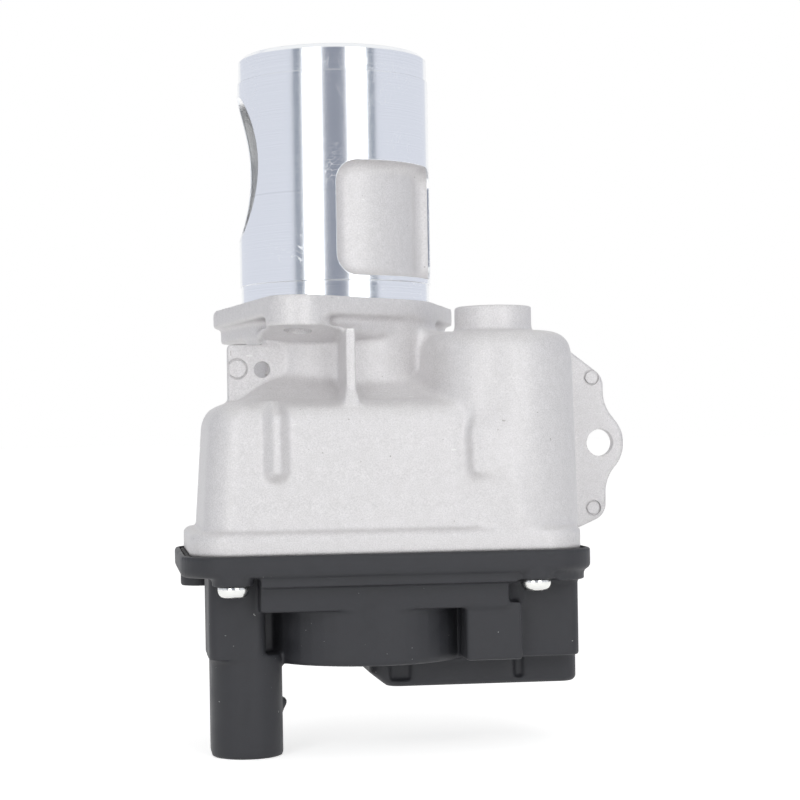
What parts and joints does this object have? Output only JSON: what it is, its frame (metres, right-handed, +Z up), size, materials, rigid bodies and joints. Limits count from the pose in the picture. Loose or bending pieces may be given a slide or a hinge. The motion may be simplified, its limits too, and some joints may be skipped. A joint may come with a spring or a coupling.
{
  "type": "exhaust gas recirculation valve",
  "caption": "Motor-driven exhaust gas recirculation valve: cast housing, turned tube with a side window, poppet on a cam drive, black gear cover with a plug socket.",
  "frame": {"origin": "on the tube's axis at the flange's top face", "axes": "+Z up the tube, -Y the front of the gear housing, +X towards the motor and the ear"},
  "size_m": [0.1203, 0.0759, 0.1782],
  "materials": {
    "cast_housing": "as cast, fine blasted grain",
    "turned_tube": "fine turned",
    "seat_steel": "machined stainless",
    "valve_steel": "heat resistant steel, machined",
    "guide_bronze": "sintered bronze",
    "seal_rubber": "matte",
    "can_steel": "zinc plated",
    "cap_plastic": "moulded",
    "magnet_dark": "sintered ferrite",
    "carbon": "graphite",
    "ground_pin": "ground",
    "cover_plastic": "fine moulded grain",
    "pin_metal": "tin plated",
    "board_green": "resist coated laminate",
    "screw_zinc": "zinc plated",
    "spring_steel": "drawn wire",
    "yoke_steel": "machined",
    "gear_plastic": "moulded natural nylon",
    "pinion_brass": "hobbed",
    "rotor_iron": "laminated",
    "winding_copper": "enamelled wire"
  },
  "bodies": {
    "casing": {"valve_housing": "cast_housing", "valve_tube": "turned_tube", "seat_ring": "seat_steel", "stem_guide": "guide_bronze", "stem_seal": "seal_rubber", "motor_can": "can_steel", "motor_end_cap": "cap_plastic", "motor_bushes": "guide_bronze", "motor_magnets": "magnet_dark", "carbon_brushes": "carbon", "output_axle": "ground_pin", "intermediate_axle": "ground_pin", "gear_cover": "cover_plastic", "connector_pins": "pin_metal", "circuit_board": "board_green", "cover_gasket": "seal_rubber", "cover_screws": "screw_zinc"},
    "poppet": {"valve_head": "valve_steel", "valve_stem": "valve_steel", "spring_retainer": "yoke_steel", "return_spring": "spring_steel", "roller_yoke": "yoke_steel", "roller_pin": "ground_pin"},
    "follower_roller": {"cam_roller": "yoke_steel"},
    "output_wheel": {"output_gear": "gear_plastic", "output_bush": "guide_bronze", "sensor_magnet": "magnet_dark"},
    "intermediate_wheel": {"intermediate_gear": "gear_plastic"},
    "rotor": {"motor_shaft": "ground_pin", "motor_pinion": "pinion_brass", "rotor_core": "rotor_iron", "rotor_windings": "winding_copper", "commutator": "winding_copper"}
  },
  "joints": [
    {"name": "motor_spin", "type": "hinge", "parent": "casing", "child": "rotor", "pos_m": [0.0386, -0.022, -0.04], "axis": [0, 0, 1], "range_deg": [0, 1072]},
    {"name": "intermediate_spin", "type": "hinge", "parent": "casing", "child": "intermediate_wheel", "pos_m": [0.03107, -0.00609, -0.08], "axis": [0, 0, 1], "range_deg": [-315.5, 0]},
    {"name": "output_turn", "type": "hinge", "parent": "casing", "child": "output_wheel", "pos_m": [0.006, -0.013, -0.078], "axis": [0, 0, 1], "range_deg": [0, 75.1]},
    {"name": "valve_lift", "type": "slide", "parent": "casing", "child": "poppet", "axis": [0, 0, 1], "range_m": [0, 0.005], "deforming": ["return_spring"]},
    {"name": "roller_spin", "type": "hinge", "parent": "poppet", "child": "follower_roller", "pos_m": [0, 0, -0.07175], "axis": [-0.4191, 0.908, 0], "range_deg": [0, 336.57]}
  ],
  "couplings": [
    {"joint": "output_turn", "follows": "valve_lift", "rad_per_m": 261.8},
    {"joint": "intermediate_spin", "follows": "valve_lift", "rad_per_m": -1099.6},
    {"joint": "motor_spin", "follows": "valve_lift", "rad_per_m": 3738.5},
    {"joint": "roller_spin", "follows": "valve_lift", "rad_per_m": 1171.4}
  ]
}
